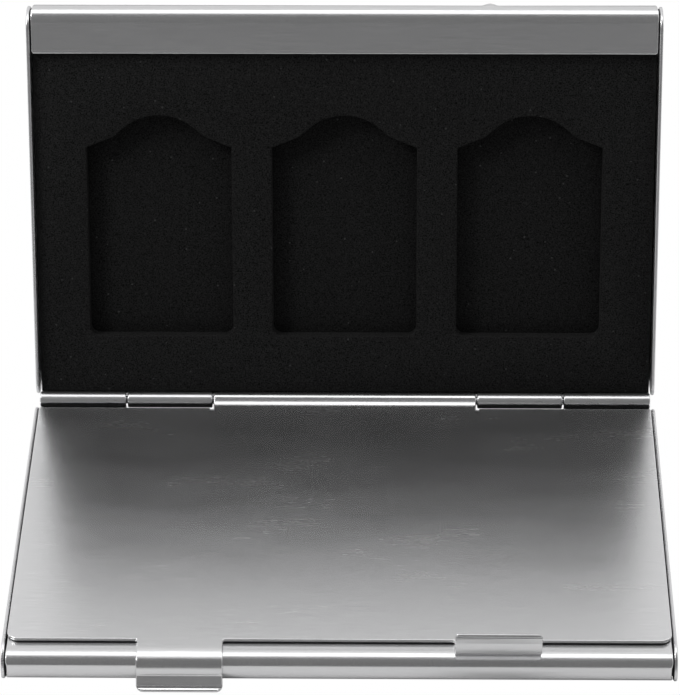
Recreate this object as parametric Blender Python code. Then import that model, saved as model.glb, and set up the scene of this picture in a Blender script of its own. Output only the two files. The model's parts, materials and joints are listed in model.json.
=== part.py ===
"""Slim aluminium card case: two trays and a middle plate on one hinge pin, with die-cut foam in both trays.

Metres, +Z up, +X to the right of someone who faces the front edge. The origin is the middle of the
lower tray's underside. Each leaf is modelled about the hinge pin, where d is the distance from the
pin towards the front edge and h the height above the mid-plane in which the middle plate lies.
"""

import math

import bmesh
import bpy
from mathutils import Matrix

# Sheet and overall sizes
SHEET = 0.0005
CASE_WIDTH = 0.0950
HALF_THICKNESS = 0.0049
FRONT_D = 0.0611

# How the case stands: the upper tray is open, the middle plate is closed
UPPER_OPENING = 107.9
PLATE_OPENING = 0.0

# Trays
SIDE_CLEARANCE = 0.00025
RIM_H = 0.00015
LIP_CLEARANCE = 0.0003
LIP_WIDTH = 0.0069
REAR_BEND_RADIUS = 0.0034
REAR_WALL_D = 0.00035
FLANGE_OVERHANG = 0.0002
FLANGE_REAR_D = 0.00035
FLANGE_RIM_RADIUS = 0.0034
FLANGE_FOOT_RADIUS = 0.0013
FLANGE_REAR_RADIUS = 0.0022

# Detent bump on each tray's rolled front
BUMP_X = 0.02175
BUMP_WIDTH = 0.0022
BUMP_HEIGHT = 0.0003
BUMP_ANGLE = 20.0
BUMP_ROOT = 0.0001

# Hinge
KNUCKLE_RADIUS = 0.0012
PIN_CLEARANCE = 0.0001
KNUCKLE_GAP = 0.00025
MIDDLE_KNUCKLE_END = 0.0202
INNER_KNUCKLE_END = 0.03345
WINDOW_CLEARANCE = 0.0003
KNUCKLE_EASE_RADIUS = 0.0005
KNUCKLE_CURL_END = 255.0

# Middle plate
PLATE_REAR_D = 0.0023
PLATE_SETBACK = 0.0037
PLATE_CORNER_RADIUS = 0.0017
SWEEP_RADIUS = 0.0024
MIDDLE_CURL_END = 330.0
RELIEF_WIDTH = 0.0005
RELIEF_D = 0.0029
JOIN_LENGTH = 0.0006
JOIN_DEPTH = 0.00012

# Latch tongues. Each one's bends are legs of (radius, degrees down) or (length, 0)
TONGUE_X = 0.02233
TONGUE_WIDTH = 0.01213
TONGUE_SETBACK = {"left": 0.00185, "right": 0.0025}
TONGUE_LEGS = {
    "left": (
        (0.00345, 28.0), (0.00175, 77.0), (0.0004, -39.0), (0.00172, 0), (0.00045, -48.0), (0.00035, 0),
    ),
    "right": (
        (0.0032, 95.0), (0.0004, -23.0), (0.0015, 0), (0.00045, -30.0), (0.0001, 0),
    ),
}
TONGUE_CORNER_RADIUS = 0.0008

# Foam stack
ADHESIVE = 0.0001
FOAM_BASE = 0.00045
POCKET_FOAM = 0.0023
LAYER_GAP = 0.0001
FOAM_CLEARANCE = 0.0003
FOAM_SETBACK = 0.0022

# Card pockets
POCKET_COUNT = 3
POCKET_PITCH = 0.0280
POCKET_WIDTH = 0.0219
POCKET_REAR_D = 0.0099
POCKET_FRONT_D = 0.0396
POCKET_CORNER_RADIUS = 0.0014
SHOULDER_SLOPE = 22.0
ARCH_HEIGHT = 0.00497
ARCH_RADIUS = 0.0081
ARCH_FLANK = 42.0
ARCH_BLEND_RADIUS = 0.0040

# Facets
BEND_STEP = 15.0
ROLL_STEP = 9.0
BUMP_SEGMENTS = 16
MERGE_DISTANCE = 1e-7

# Worked out from the sizes above
HALF_SHEET = SHEET / 2
LIP_EDGE_D = FRONT_D - LIP_WIDTH
FLANGE_FRONT_D = FRONT_D + FLANGE_OVERHANG
PLATE_FRONT_D = FRONT_D - PLATE_SETBACK
FOAM_FRONT_D = FRONT_D - FOAM_SETBACK
FLANGE_INNER_X = CASE_WIDTH / 2 - SHEET
LEAF_HALF_WIDTH = FLANGE_INNER_X - SIDE_CLEARANCE
SIDE_BEND_RADIUS = SIDE_CLEARANCE + SHEET
BASE_H = -(HALF_THICKNESS - HALF_SHEET)
LIP_H = -(HALF_SHEET + LIP_CLEARANCE + HALF_SHEET)
ROLL_RADIUS = (LIP_H - BASE_H) / 2
ROLL_H = (LIP_H + BASE_H) / 2
ROLL_D = FRONT_D - HALF_SHEET - ROLL_RADIUS
KNUCKLE_MIDDLE = KNUCKLE_RADIUS - HALF_SHEET
PIN_RADIUS = KNUCKLE_RADIUS - SHEET - PIN_CLEARANCE
REAR_BEND_MIDDLE = REAR_BEND_RADIUS - HALF_SHEET
REAR_BEND_D = REAR_WALL_D + REAR_BEND_MIDDLE
FOAM_REAR_D = REAR_WALL_D + HALF_SHEET + FOAM_CLEARANCE
EASE_D = REAR_WALL_D + KNUCKLE_EASE_RADIUS
EASE_REACH = KNUCKLE_MIDDLE + KNUCKLE_EASE_RADIUS
EASE_TURN = math.degrees(math.acos(EASE_D / EASE_REACH))
EASE_H = -math.sqrt(EASE_REACH**2 - EASE_D**2)
REAR_BEND_H = BASE_H + REAR_BEND_MIDDLE
WINDOW_H = -(KNUCKLE_RADIUS + WINDOW_CLEARANCE)
SWEEP_D = math.sqrt(KNUCKLE_MIDDLE**2 + 2 * SWEEP_RADIUS * KNUCKLE_MIDDLE)
REACH = 2 * CASE_WIDTH


def arc(d, h, radius, start, end, step):
    """Points of an arc and the unit normal at each, from start to end in degrees."""
    count = max(2, round(abs(end - start) / step))
    turned = -1.0 if end < start else 1.0
    out = []
    for i in range(count + 1):
        angle = math.radians(start + (end - start) * i / count)
        c, s = math.cos(angle), math.sin(angle)
        out.append(((d + radius * c, h + radius * s), (turned * c, turned * s)))
    return out


def ribbon(path):
    """The closed outline of a sheet whose middle follows the path."""
    outer = [(p[0] + n[0] * HALF_SHEET, p[1] + n[1] * HALF_SHEET) for p, n in path]
    inner = [(p[0] - n[0] * HALF_SHEET, p[1] - n[1] * HALF_SHEET) for p, n in path]
    return outer + inner[::-1]


def rounded(corners, step=BEND_STEP):
    """A closed outline from (u, v, radius) corners, each rounded by its radius."""
    out = []
    count = len(corners)
    for i in range(count):
        u, v, radius = corners[i]
        if radius == 0:
            out.append((u, v))
            continue
        before, after = corners[i - 1], corners[(i + 1) % count]
        a = math.atan2(before[1] - v, before[0] - u)
        b = math.atan2(after[1] - v, after[0] - u)
        inside = (b - a) % math.tau
        turn = 1.0 if inside < math.pi else -1.0
        inside = min(inside, math.tau - inside)
        reach = radius / math.sin(inside / 2)
        middle = a + turn * inside / 2
        cu, cv = u + reach * math.cos(middle), v + reach * math.sin(middle)
        swept = math.pi - inside
        first = a - turn * math.pi / 2
        steps = max(1, round(math.degrees(swept) / step))
        for k in range(steps + 1):
            angle = first - turn * swept * k / steps
            out.append((cu + radius * math.cos(angle), cv + radius * math.sin(angle)))
    return out


def pocket_outline(x):
    """A card pocket seen from above, as (x, d) points: square at the rear, a thumb arch at the front."""
    half = POCKET_WIDTH / 2
    slope, flank = math.radians(SHOULDER_SLOPE), math.radians(ARCH_FLANK)
    arch_d = POCKET_FRONT_D + ARCH_HEIGHT - ARCH_RADIUS
    touch_x = ARCH_RADIUS * math.sin(flank)
    touch_d = arch_d + ARCH_RADIUS * math.cos(flank)
    rise = touch_d + math.tan(flank) * touch_x - POCKET_FRONT_D - math.tan(slope) * half
    meet_x = rise / (math.tan(flank) - math.tan(slope))
    meet_d = POCKET_FRONT_D + math.tan(slope) * (half - meet_x)
    arch = arc(0, arch_d, ARCH_RADIUS, 90 - ARCH_FLANK, 90 + ARCH_FLANK, BEND_STEP / 2)
    corners = [
        (-half, POCKET_REAR_D, POCKET_CORNER_RADIUS),
        (half, POCKET_REAR_D, POCKET_CORNER_RADIUS),
        (half, POCKET_FRONT_D, 0),
        (meet_x, meet_d, ARCH_BLEND_RADIUS),
        *((u, v, 0) for (u, v), _ in arch),
        (-meet_x, meet_d, ARCH_BLEND_RADIUS),
        (-half, POCKET_FRONT_D, 0),
    ]
    return [(x + u, v) for u, v in rounded(corners, BEND_STEP / 2)]


def start_scene():
    """An empty scene with one collection for the parts and one for the cutters."""
    for old in list(bpy.data.objects):
        bpy.data.objects.remove(old)
    for name in ("card_case", "cutters"):
        collection = bpy.data.collections.new(name)
        bpy.context.scene.collection.children.link(collection)
    bpy.data.collections["cutters"].hide_render = True


def make_material(name, colour, roughness, metallic):
    made = bpy.data.materials.new(name)
    made.use_nodes = True
    shader = made.node_tree.nodes["Principled BSDF"]
    shader.inputs["Base Color"].default_value = (*colour, 1)
    shader.inputs["Roughness"].default_value = roughness
    shader.inputs["Metallic"].default_value = metallic
    return made


def new_object(name, data, collection):
    made = bpy.data.objects.new(name, data)
    bpy.data.collections[collection].objects.link(made)
    return made


def solid_mesh(name, fill):
    """A mesh filled by a bmesh function, with its faces pointing out."""
    bm = bmesh.new()
    fill(bm)
    bmesh.ops.recalc_face_normals(bm, faces=bm.faces)
    if bm.calc_volume(signed=True) < 0:
        bmesh.ops.reverse_faces(bm, faces=bm.faces)
    mesh = bpy.data.meshes.new(name)
    bm.to_mesh(mesh)
    bm.free()
    mesh.shade_smooth()
    mesh.set_sharp_from_angle(angle=math.radians(2 * BEND_STEP))
    return mesh


def extruded(name, loops, depth, place):
    """The mesh of a flat outline with holes, as a 2D curve extruded by the depth and turned into place."""
    curve = bpy.data.curves.new(name, "CURVE")
    curve.dimensions = "2D"
    curve.fill_mode = "BOTH"
    curve.extrude = depth / 2
    for loop in loops:
        spline = curve.splines.new("POLY")
        spline.points.add(len(loop) - 1)
        for point, (u, v) in zip(spline.points, loop):
            point.co = (u, v, 0, 1)
        spline.use_cyclic_u = True
    guide = new_object(name, curve, "cutters")
    graph = bpy.context.evaluated_depsgraph_get()
    raw = bpy.data.meshes.new_from_object(guide.evaluated_get(graph))
    bpy.data.objects.remove(guide)
    bpy.data.curves.remove(curve)

    def fill(bm):
        bm.from_mesh(raw)
        bmesh.ops.remove_doubles(bm, verts=bm.verts, dist=MERGE_DISTANCE)
        bmesh.ops.transform(bm, matrix=place, verts=bm.verts)

    mesh = solid_mesh(name, fill)
    bpy.data.meshes.remove(raw)
    return mesh


def side_view(x=0.0):
    """Turns a (d, h) outline so that it is extruded along X, about this x."""
    return Matrix(((0, 0, -1, x), (-1, 0, 0, 0), (0, 1, 0, 0), (0, 0, 0, 1)))


def top_view(h=0.0):
    """Turns an (x, d) outline so that it is extruded along the height, about this h."""
    return Matrix(((1, 0, 0, 0), (0, -1, 0, 0), (0, 0, -1, h), (0, 0, 0, 1)))


def front_view(d):
    """Turns an (x, h) outline so that it is extruded along the depth, about this d."""
    return Matrix(((1, 0, 0, 0), (0, 0, -1, -d), (0, 1, 0, 0), (0, 0, 0, 1)))


def box_mesh(name, x, d, h):
    """A box from (low, high) pairs along x, d and h."""
    low, high = (x[0], -d[1], h[0]), (x[1], -d[0], h[1])
    size = Matrix.Diagonal([b - a for a, b in zip(low, high)] + [1])
    place = Matrix.Translation([(a + b) / 2 for a, b in zip(low, high)])
    return solid_mesh(name, lambda bm: bmesh.ops.create_cube(bm, size=1, matrix=place @ size))


def combine(target, mesh, operation):
    """Adds a Boolean to the target, with a hidden helper that rides on it, and returns the helper."""
    helper = new_object(mesh.name, mesh, "cutters")
    helper.parent = target
    helper.hide_render = True
    helper.display_type = "WIRE"
    modifier = target.modifiers.new(mesh.name, "BOOLEAN")
    modifier.operation = operation
    modifier.solver = "EXACT"
    modifier.object = helper
    return helper


def tray_section():
    """The tray's sheet: hinge curl, rear wall and bend, base, rolled front and lip."""
    curl = arc(0, 0, KNUCKLE_MIDDLE, KNUCKLE_CURL_END, -EASE_TURN, BEND_STEP)
    ease = arc(EASE_D, EASE_H, KNUCKLE_EASE_RADIUS, 180 - EASE_TURN, 180, BEND_STEP)
    curl += ease[1:]
    bend = arc(REAR_BEND_D, REAR_BEND_H, REAR_BEND_MIDDLE, 180, 270, ROLL_STEP)
    roll = arc(ROLL_D, ROLL_H, ROLL_RADIUS, -90, 90, ROLL_STEP)
    lip = [((LIP_EDGE_D, LIP_H), (0.0, 1.0))]
    return ribbon(curl + bend + roll + lip)


def flange_mesh(name, side):
    """One side flange with its bend and a strip of the base, a little too big until its outline is cut."""
    outer, inner, edge = (side * x for x in (CASE_WIDTH / 2, FLANGE_INNER_X, LEAF_HALF_WIDTH))
    foot, floor, root = -HALF_THICKNESS, SHEET - HALF_THICKNESS, edge - side * JOIN_LENGTH
    section = rounded([
        (root, foot + JOIN_DEPTH, 0),
        (edge, foot + JOIN_DEPTH, 0),
        (edge, foot, 0),
        (outer, foot, SIDE_BEND_RADIUS),
        (outer, SHEET, 0),
        (inner, SHEET, 0),
        (inner, floor, SIDE_BEND_RADIUS - SHEET),
        (edge, floor, 0),
        (edge, floor - JOIN_DEPTH, 0),
        (root, floor - JOIN_DEPTH, 0),
    ])
    middle = (FLANGE_FRONT_D + FLANGE_REAR_D) / 2
    length = FLANGE_FRONT_D - FLANGE_REAR_D + 2 * SHEET
    return extruded(name, [section], length, front_view(middle))


def flange_outline():
    """The flange seen from the side: big radii at the rim, small ones at the foot."""
    foot = -HALF_THICKNESS - HALF_SHEET
    return rounded([
        (FLANGE_REAR_D, foot, FLANGE_FOOT_RADIUS),
        (FLANGE_FRONT_D, foot, FLANGE_FOOT_RADIUS),
        (FLANGE_FRONT_D, -RIM_H, FLANGE_RIM_RADIUS),
        (FLANGE_REAR_D, -RIM_H, FLANGE_REAR_RADIUS),
    ])


def add_flange(tray, side):
    """Joins a flange to the tray. Slits part its two ends from the rear bend and from the rolled front."""
    label = "left" if side < 0 else "right"
    flange = combine(tray, flange_mesh(f"{tray.name}_{label}_flange", side), "UNION")
    ends = extruded(f"{flange.name}_ends", [flange_outline()], REACH, side_view())
    combine(flange, ends, "INTERSECT")
    inside = sorted((0.0, side * FLANGE_INNER_X))
    everywhere = (-REACH, REACH)
    slits = (("front_slit", (ROLL_D, REACH)), ("rear_slit", (-REACH, REAR_BEND_D)))
    for slit, d in slits:
        combine(flange, box_mesh(f"{flange.name}_{slit}", inside, d, everywhere), "DIFFERENCE")


def add_bump(tray):
    """Joins the detent bump to the rolled front."""
    angle = math.radians(-BUMP_ANGLE)
    radius = ROLL_RADIUS + HALF_SHEET - BUMP_ROOT
    half = BUMP_WIDTH / 2
    size = Matrix.Diagonal((half, BUMP_HEIGHT + BUMP_ROOT, half, 1))
    place = Matrix.Translation((
        -BUMP_X,
        -(ROLL_D + radius * math.cos(angle)),
        ROLL_H + radius * math.sin(angle),
    ))
    turn = Matrix.Rotation(-angle, 4, "X")

    def fill(bm):
        matrix = place @ turn @ size
        segments = BUMP_SEGMENTS
        bmesh.ops.create_uvsphere(
            bm, u_segments=segments, v_segments=segments // 2, radius=1, matrix=matrix
        )

    combine(tray, solid_mesh(f"{tray.name}_bump", fill), "UNION")


def add_tray(name, leaf, windows):
    """A tray on its leaf, with the hinge windows cut where the other leaves have their knuckles."""
    section = extruded(name, [tray_section()], 2 * LEAF_HALF_WIDTH, side_view())
    tray = new_object(name, section, "card_case")
    tray.parent = leaf
    side = KNUCKLE_RADIUS + WINDOW_CLEARANCE
    for i, span in enumerate(windows):
        cutter = box_mesh(f"{name}_window_{i}", span, (-side, side), (WINDOW_H, side))
        combine(tray, cutter, "DIFFERENCE")
    add_flange(tray, -1)
    add_flange(tray, 1)
    add_bump(tray)
    return tray


def plate_outline():
    """The middle plate seen from above, with relief notches beside its knuckle."""
    notch = MIDDLE_KNUCKLE_END - KNUCKLE_GAP / 2 + RELIEF_WIDTH
    wide = LEAF_HALF_WIDTH
    return rounded([
        (-wide, PLATE_REAR_D, 0),
        (-notch, PLATE_REAR_D, 0),
        (-notch, RELIEF_D, 0),
        (notch, RELIEF_D, 0),
        (notch, PLATE_REAR_D, 0),
        (wide, PLATE_REAR_D, 0),
        (wide, PLATE_FRONT_D, PLATE_CORNER_RADIUS),
        (-wide, PLATE_FRONT_D, PLATE_CORNER_RADIUS),
    ])


def middle_knuckle_section():
    """The plate's sheet as it sweeps up from the plate and curls round the pin."""
    top = math.degrees(math.atan2(SWEEP_RADIUS, SWEEP_D))
    start = [((RELIEF_D + JOIN_LENGTH, 0.0), (0.0, 1.0))]
    sweep = arc(SWEEP_D, SWEEP_RADIUS, SWEEP_RADIUS, 270, 180 + top, BEND_STEP)
    curl = arc(0, 0, KNUCKLE_MIDDLE, top, MIDDLE_CURL_END, BEND_STEP)
    return ribbon(start + sweep + curl)


def tongue_path(label):
    """A latch tongue from the plate round the tray's rolled front to its flared lip, bent down."""
    d, h, tilt = FRONT_D - TONGUE_SETBACK[label], 0.0, 0.0
    path = [((PLATE_FRONT_D - JOIN_LENGTH, 0.0), (0.0, 1.0)), ((d, h), (0.0, 1.0))]
    for size, turn in TONGUE_LEGS[label]:
        if turn == 0:
            d += size * math.cos(tilt)
            h -= size * math.sin(tilt)
            path.append(((d, h), (math.sin(tilt), math.cos(tilt))))
            continue
        steps = max(2, round(abs(turn) / BEND_STEP))
        radius = math.copysign(size, turn)
        for _ in range(steps):
            after = tilt + math.radians(turn) / steps
            d += radius * (math.sin(after) - math.sin(tilt))
            h += radius * (math.cos(after) - math.cos(tilt))
            tilt = after
            path.append(((d, h), (math.sin(tilt), math.cos(tilt))))
    return path


def tongue_front(x, tip_h, up):
    """The tongue seen from the front, with its rounded tip."""
    half = TONGUE_WIDTH / 2
    below_plate, past_tip = -2 * SHEET * up, (tip_h + SHEET) * up
    radius = TONGUE_CORNER_RADIUS + SHEET
    return rounded([
        (x - half, below_plate, 0),
        (x + half, below_plate, 0),
        (x + half, past_tip, radius),
        (x - half, past_tip, radius),
    ])


def add_tongue(plate, label, x, up):
    """Joins a latch tongue to the plate, bent up or down."""
    path = tongue_path(label)
    tip_h = -path[-1][0][1]
    section = [(d, up * -h) for d, h in ribbon(path)]
    strip = extruded(f"{label}_tongue", [section], TONGUE_WIDTH, side_view(x))
    tongue = combine(plate, strip, "UNION")
    front = tongue_front(x, tip_h, up)
    tip = extruded(f"{label}_tongue_tip", [front], REACH, front_view(PLATE_FRONT_D))
    combine(tongue, tip, "INTERSECT")


def add_middle_plate(leaf):
    """The middle plate with its knuckle and its two latch tongues."""
    flat = extruded("middle_plate", [plate_outline()], SHEET, top_view())
    plate = new_object("middle_plate", flat, "card_case")
    plate.parent = leaf
    width = 2 * MIDDLE_KNUCKLE_END - KNUCKLE_GAP
    knuckle = extruded("middle_knuckle", [middle_knuckle_section()], width, side_view())
    combine(plate, knuckle, "UNION")
    add_tongue(plate, "left", -TONGUE_X, -1)
    add_tongue(plate, "right", TONGUE_X, 1)
    return plate


def add_hinge_pin(leaf):
    """The pin, which stays with the lower tray."""
    turn = Matrix.Rotation(math.pi / 2, 4, "Y")
    segments = round(360 / BEND_STEP)

    def fill(bm):
        bmesh.ops.create_cone(
            bm, cap_ends=True, segments=segments, radius1=PIN_RADIUS, radius2=PIN_RADIUS,
            depth=2 * LEAF_HALF_WIDTH - KNUCKLE_GAP, matrix=turn
        )

    pin = new_object("hinge_pin", solid_mesh("hinge_pin", fill), "card_case")
    pin.parent = leaf
    return pin


def sheet_outline(rear):
    """The outline of a foam or adhesive sheet that fills the tray from this d to the rolled front."""
    half = FLANGE_INNER_X - FOAM_CLEARANCE
    return [(-half, rear), (half, rear), (half, FOAM_FRONT_D), (-half, FOAM_FRONT_D)]


def rear_bend_cutter():
    """What lies outside the rear bend, so that the foam's rear edge follows it."""
    radius = REAR_BEND_RADIUS - SHEET - FOAM_CLEARANCE
    bend = arc(REAR_BEND_D, REAR_BEND_H, radius, 180, 270, ROLL_STEP)
    edge = [p for p, _ in bend]
    return edge + [(edge[-1][0], -REACH), (-REACH, -REACH), (-REACH, edge[0][1])]


def add_foam(prefix, leaf):
    """The adhesive sheet, the foam base and the pocket foam of one tray, bottom to top."""
    floor = -HALF_THICKNESS + SHEET
    layers = (
        (f"{prefix}_adhesive_sheet", ADHESIVE, [sheet_outline(REAR_BEND_D + FOAM_CLEARANCE)]),
        (f"{prefix}_foam_base", FOAM_BASE, [sheet_outline(FOAM_REAR_D)]),
        (f"{prefix}_pocket_foam", POCKET_FOAM, [sheet_outline(FOAM_REAR_D)]),
    )
    middle = (POCKET_COUNT - 1) / 2
    pockets = [pocket_outline((i - middle) * POCKET_PITCH) for i in range(POCKET_COUNT)]
    out = []
    for name, thickness, loops in layers:
        floor += LAYER_GAP
        if name.endswith("pocket_foam"):
            loops = loops + pockets
        mesh = extruded(name, loops, thickness, top_view(floor + thickness / 2))
        layer = new_object(name, mesh, "card_case")
        layer.parent = leaf
        if not name.endswith("adhesive_sheet"):
            rear = extruded(f"{name}_rear", [rear_bend_cutter()], REACH, side_view())
            combine(layer, rear, "DIFFERENCE")
        out.append(layer)
        floor += thickness
    return out


def add_leaf(name, parent, opening, turned=0.0):
    """An empty on the pin's axis, opened by an angle about it."""
    leaf = new_object(name, None, "card_case")
    leaf.parent = parent
    leaf.rotation_euler = (-math.radians(opening), turned, 0)
    return leaf


def build():
    start_scene()
    aluminium = make_material("brushed_aluminium", (0.80, 0.80, 0.81), 0.3, 1.0)
    steel = make_material("pin_steel", (0.62, 0.62, 0.64), 0.25, 1.0)
    foam = make_material("black_foam", (0.012, 0.012, 0.013), 0.95, 0.0)
    film = make_material("adhesive_film", (0.75, 0.73, 0.66), 0.5, 0.0)
    lower_leaf = add_leaf("lower_leaf", None, 0)
    lower_leaf.location = (0, FRONT_D / 2, HALF_THICKNESS)
    middle_leaf = add_leaf("middle_leaf", lower_leaf, PLATE_OPENING)
    upper_leaf = add_leaf("upper_leaf", middle_leaf, UPPER_OPENING)
    upper_turn = add_leaf("upper_turn", upper_leaf, 0, math.pi)
    gap = KNUCKLE_GAP / 2
    wide, inner, middle = LEAF_HALF_WIDTH + SHEET, INNER_KNUCKLE_END, MIDDLE_KNUCKLE_END
    lower_windows = [(-inner - gap, inner + gap)]
    upper_windows = [(-wide, gap - inner), (-middle - gap, middle + gap), (inner - gap, wide)]
    metal = [
        add_tray("lower_tray", lower_leaf, lower_windows),
        add_tray("upper_tray", upper_turn, upper_windows),
        add_middle_plate(middle_leaf),
    ]
    pin = add_hinge_pin(lower_leaf)
    layers = add_foam("lower", lower_leaf) + add_foam("upper", upper_turn)
    for piece in metal:
        piece.data.materials.append(aluminium)
    pin.data.materials.append(steel)
    for piece in layers:
        piece.data.materials.append(film if piece.name.endswith("adhesive_sheet") else foam)


build()
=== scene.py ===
"""Looks of the slim aluminium card case: brushed bent sheet, die-cut foam, hinge pin, studio and camera.

Metres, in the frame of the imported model. Each sheet piece starts as a flat blank, with x across the
case and s along it. The blank is scored where it bends, folded along its courses, given its
thickness and softened edges. On a leaf, d is the distance from the pin towards the front edge and h
the height above the plane of the middle plate.
"""

import json
import math

import bmesh
import bpy
from mathutils import Matrix, Vector


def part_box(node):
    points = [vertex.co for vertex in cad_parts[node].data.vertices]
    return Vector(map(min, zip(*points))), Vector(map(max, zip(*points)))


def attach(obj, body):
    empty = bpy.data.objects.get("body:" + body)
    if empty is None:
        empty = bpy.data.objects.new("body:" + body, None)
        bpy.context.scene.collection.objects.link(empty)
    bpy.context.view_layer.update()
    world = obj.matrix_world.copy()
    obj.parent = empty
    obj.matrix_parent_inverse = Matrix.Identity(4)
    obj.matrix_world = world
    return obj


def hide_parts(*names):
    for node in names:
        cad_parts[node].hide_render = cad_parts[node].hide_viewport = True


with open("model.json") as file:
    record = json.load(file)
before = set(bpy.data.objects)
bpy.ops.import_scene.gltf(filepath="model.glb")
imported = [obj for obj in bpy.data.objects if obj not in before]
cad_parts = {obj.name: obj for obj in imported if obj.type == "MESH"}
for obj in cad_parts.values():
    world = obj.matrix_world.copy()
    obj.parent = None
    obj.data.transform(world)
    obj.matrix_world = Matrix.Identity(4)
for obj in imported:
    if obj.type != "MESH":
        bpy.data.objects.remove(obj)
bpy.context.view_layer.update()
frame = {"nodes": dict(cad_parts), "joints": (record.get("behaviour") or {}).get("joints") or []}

PIN_AXIS = Vector(frame["joints"][0]["pos_m"])
UPPER_OPENING = 107.9

# Sheet
SHEET = 0.0005
CASE_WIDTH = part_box("lower_tray")[1].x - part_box("lower_tray")[0].x
HALF_THICKNESS = PIN_AXIS.z
FRONT_D = 2 * PIN_AXIS.y
EDGE_RADIUS = 0.00018
EDGE_SEGMENTS = 3
SOFTENED_ANGLE = 50.0
SHARP_ANGLE = 40.0
CUT_CORNER_RADIUS = 0.0002
BEND_STEP = 6.0
LEAST_SCORE_SPACING = 0.0001
CORNER_STEP = 10.0
SCORE_TOLERANCE = 1e-7

# Trays
SIDE_CLEARANCE = 0.00015
RIM_H = 0.00015
LIP_CLEARANCE = 0.0002
LIP_WIDTH = 0.0069
LIP_CORNER_RADIUS = 0.00045
REAR_BEND_RADIUS = 0.0034
REAR_WALL_D = 0.00035
FLANGE_OVERHANG = -0.0003
FLANGE_REAR_D = 0.00035
FLANGE_RIM_RADIUS = 0.0033
FLANGE_FOOT_RADIUS = 0.0012
FLANGE_HEEL_RADIUS = 0.0022
FLANGE_REAR_RADIUS = 0.0022
SLIT_ANGLE = 12.0
SLIT_SETBACK = 0.00005
SLIT_ROOT_RADIUS = 0.00006
WINDOW_SETBACK = 0.00006
ROLL_SHOULDER_RADIUS = 0.0023
ROLL_SHOULDER_END = 48.0
ROLL_CORNER_RADIUS = 0.0008
ROLL_CORNER_END = 75.0
ROLL_END_CUT = 0.00018
ROLL_END_ANGLES = (45.0, 12.0, -12.0, -45.0)

# Detent bumps
BUMP_X = 0.02175
BUMP_RADIUS = 0.0013
BUMP_HEIGHT = 0.0003
BUMP_ANGLE = 20.0
BUMP_CUTS = 14

# Hinge
KNUCKLE_RADIUS = 0.0012
PIN_CLEARANCE = 0.0001
KNUCKLE_GAP = 0.00025
MIDDLE_KNUCKLE_END = 0.0202
INNER_KNUCKLE_END = 0.03345
KNUCKLE_EASE_RADIUS = 0.0005
TRAY_CURL_END = 255.0
PIN_DOME = 0.0002
PIN_SEGMENTS = 48
PIN_DOME_RINGS = 5

# Middle plate
PLATE_REAR_D = 0.0023
PLATE_SETBACK = 0.0037
PLATE_CORNER_RADIUS = 0.0017
SWEEP_RADIUS = 0.0024
PLATE_CURL_END = 330.0
RELIEF_WIDTH = 0.0005
RELIEF_D = 0.0029

# Latch tongues. Each one's bends are legs of (radius, degrees to the left) or (length, 0)
TONGUE_X = 0.02233
TONGUE_WIDTH = 0.01213
TONGUE_SETBACK = {"left": 0.00185, "right": 0.0025}
TONGUE_LEGS = {
    "left": (
        (0.00345, -28.0), (0.00175, -77.0), (0.0004, 39.0), (0.00158, 0), (0.00045, 48.0), (0.0005, 0),
    ),
    "right": (
        (0.0032, -95.0), (0.0004, 23.0), (0.0015, 0), (0.00045, 30.0), (0.0001, 0),
    ),
}
TONGUE_CORNER_RADIUS = {"left": 0.0010, "right": 0.0005}
TONGUE_ROOT_RADIUS = 0.0003
TONGUE_FLAT_SUPPORT = 0.0001
SUPPORTED_LENGTH = 0.0003

# Foam
ADHESIVE = 0.0001
FOAM_BASE = 0.00045
POCKET_FOAM = 0.0023
LAYER_GAP = 0.0001
FOAM_CLEARANCE = 0.0003
FOAM_SETBACK = 0.0022
FOAM_EDGE_RADIUS = 0.00018
BASE_EDGE_RADIUS = 0.0001
FOAM_EDGE_SEGMENTS = 3
FOAM_SHARP_ANGLE = 55.0

# Card pockets
POCKET_COUNT = 3
POCKET_PITCH = 0.0280
POCKET_WIDTH = 0.0219
POCKET_REAR_D = 0.0099
POCKET_FRONT_D = 0.0396
POCKET_CORNER_RADIUS = 0.0014
SHOULDER_SLOPE = 22.0
ARCH_HEIGHT = 0.00497
ARCH_RADIUS = 0.0081
ARCH_FLANK = 42.0
ARCH_BLEND_RADIUS = 0.0040

# Aluminium. Its noises are (width across the brushing, length along it, detail)
FINE_LINES = (0.00016, 0.0035, 2.0)
BROAD_LINES = (0.0004, 0.010, 2.0)
CLOUDS = (0.006, 0.020, 1.0)
BROAD_SHARE = 0.3
BRUSHED_TONES = ((0.79, 0.79, 0.80), (0.95, 0.95, 0.96))
BRUSHING_DEPTH = 2e-7
BRUSHING_TURN = 0.25
ROUGHNESS_SPREAD = 0.02
TRAY_FINISH = {"roughness": 0.28, "burnished": 0.235, "anisotropy": 0.3}
PLATE_FINISH = {"roughness": 0.26, "burnished": 0.22, "anisotropy": 0.42}
BURNISH_FADE = 0.0008
WORN_COLOUR = (0.93, 0.93, 0.93)
WEAR_AMOUNT = 0.5
WEAR_POINTINESS = (0.52, 0.62)
WEAR_PATCH_SCALE = 420.0
WEAR_PATCH_DETAIL = 3.0
WEAR_PATCH_RANGE = (0.35, 0.65)

# Black foam
FOAM_GREYS = (0.0005, 0.027)
# The pocket floors' foam is painted a little darker than the face foam: painted shade in the recessed
# pockets
SHADED_FLOOR_FOAM_GREYS = (0.0005, 0.022)
SPECKLE_SCALE = 5200.0
SPECKLE_DETAIL = 2.0
SPECKLE_RANGE = (0.30, 0.72)
CELL_SCALE = 1900.0
SPECK_RARITY = 0.985
SPECK_REACH = 0.28
SPECK_COLOUR = (0.05, 0.05, 0.05)
FOAM_ROUGHNESS = (0.95, 0.8)
FOAM_SPECULAR = 0.15
FOAM_BUMP = 0.6
FOAM_SKIN_DEPTH = 0.00003

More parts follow.
